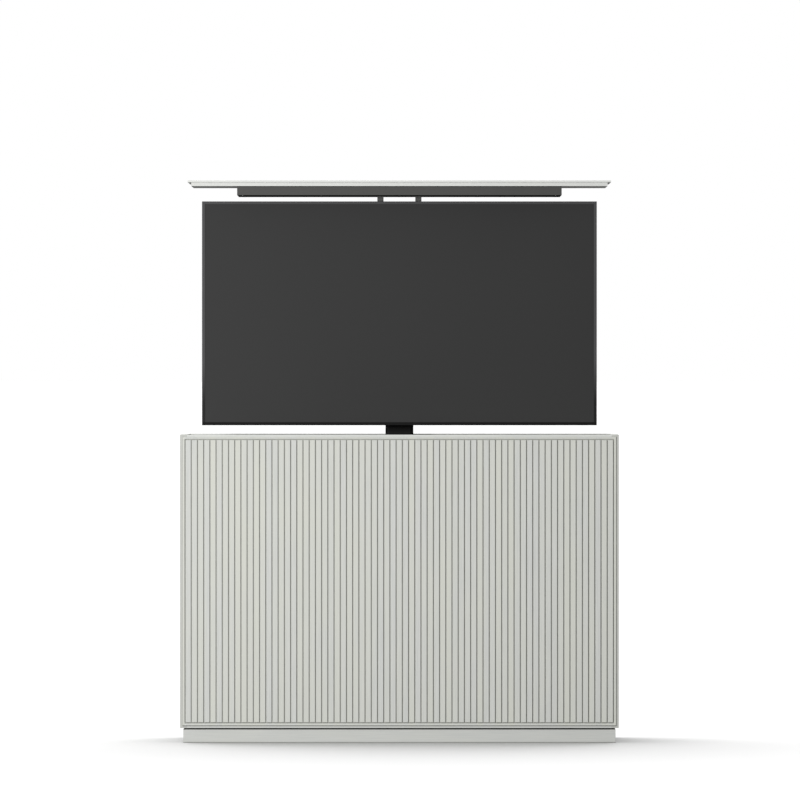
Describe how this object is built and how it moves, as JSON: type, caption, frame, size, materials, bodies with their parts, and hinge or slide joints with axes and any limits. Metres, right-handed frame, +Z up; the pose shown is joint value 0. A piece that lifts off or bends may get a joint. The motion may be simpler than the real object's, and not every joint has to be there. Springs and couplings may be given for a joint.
{
  "type": "tv lift cabinet",
  "caption": "Low cabinet with a fluted front and recessed plinth; a telescopic column raises a flat television and the cabinet's lid out of its open top.",
  "frame": {"origin": "on the floor under the middle of the cabinet's bounding box", "axes": "+Z up; +X to the viewer's right seen from the fluted front; the front faces -Y"},
  "size_m": [1.4, 0.42, 1.795],
  "materials": {
    "lacquer": "matt light warm-grey lacquer on fibreboard",
    "shadow_strip": "black stained board",
    "back_board": "light grey faced fibreboard",
    "cover_steel": "light grey powder coat",
    "black_plastic": "moulded black plastic",
    "soft_pad": "soft black pad",
    "black_steel": "satin black powder coat",
    "gearbox_alloy": "die-cast, as cast",
    "motor_can": "black enamel",
    "glide_plastic": "natural acetal",
    "zinc_steel": "bright zinc plate",
    "bare_steel": "bright turned steel",
    "carrier_steel": "matt dark grey powder coat",
    "carrier_black": "matt black powder coat",
    "tv_frame": "dark grey moulded frame",
    "tv_glass": "dark anti-glare front",
    "tv_plastic": "fine-textured black moulding"
  },
  "bodies": {
    "cabinet": {"side_panel_left": "lacquer", "side_panel_right": "lacquer", "bottom_panel": "lacquer", "front_top_rail": "lacquer", "back_top_rail": "lacquer", "back_panel": "back_board", "access_cover": "cover_steel", "cable_grommet": "black_plastic", "corner_angles": "zinc_steel", "plinth_front": "lacquer", "plinth_rear": "lacquer", "plinth_left": "lacquer", "plinth_right": "lacquer", "plinth_crossbars": "lacquer", "plinth_spacer": "shadow_strip", "front_panel": "lacquer", "lid_seat_left": "lacquer", "lid_seat_right": "lacquer", "lid_pads": "soft_pad", "lift_base_plate": "black_steel", "base_bolts": "zinc_steel", "gear_housing": "gearbox_alloy", "gear_cover": "gearbox_alloy", "column_foot_left": "black_steel", "column_foot_right": "black_steel", "lift_motor": "motor_can", "motor_cap": "motor_can", "control_box": "black_plastic", "outer_column": "black_steel", "outer_collar": "black_plastic"},
    "middle_stage": {"middle_column": "black_steel", "middle_collar": "black_plastic", "middle_glides": "glide_plastic", "middle_foot": "bare_steel"},
    "inner_stage": {"inner_column": "black_steel", "inner_glides": "glide_plastic", "inner_foot": "bare_steel", "head_bracket": "black_steel", "tv_mount_plate": "black_steel", "mount_bolts": "zinc_steel", "tv_arm_left": "black_steel", "tv_arm_right": "black_steel", "lid_post_left": "carrier_steel", "lid_post_right": "carrier_steel", "lid_carrier": "carrier_steel", "carrier_bottom_plate": "carrier_black", "carrier_pads": "soft_pad", "lid": "lacquer", "tv_bezel": "tv_frame", "tv_screen": "tv_glass", "tv_rear_shell": "tv_plastic", "tv_housing": "tv_plastic"},
    "lower_screw": {"lower_spindle": "bare_steel"},
    "upper_screw": {"upper_spindle": "bare_steel"}
  },
  "joints": [
    {"name": "stage_one_lift", "type": "slide", "parent": "cabinet", "child": "middle_stage", "axis": [0, 0, 1], "range_m": [-0.406, 0]},
    {"name": "stage_two_lift", "type": "slide", "parent": "middle_stage", "child": "inner_stage", "axis": [0, 0, 1], "range_m": [-0.406, 0]},
    {"name": "lower_screw_turn", "type": "hinge", "parent": "cabinet", "child": "lower_screw", "pos_m": [0, 0.065, 0.3], "axis": [0, 0, 1], "range_deg": [-9135.5, 0]},
    {"name": "upper_screw_turn", "type": "hinge", "parent": "middle_stage", "child": "upper_screw", "pos_m": [0, 0.065, 0.8], "axis": [0, 0, 1], "range_deg": [-9135.5, 0]}
  ],
  "couplings": [
    {"joint": "stage_two_lift", "follows": "stage_one_lift", "ratio": 1},
    {"joint": "lower_screw_turn", "follows": "stage_one_lift", "rad_per_m": 392.7},
    {"joint": "upper_screw_turn", "follows": "stage_one_lift", "rad_per_m": 392.7}
  ]
}
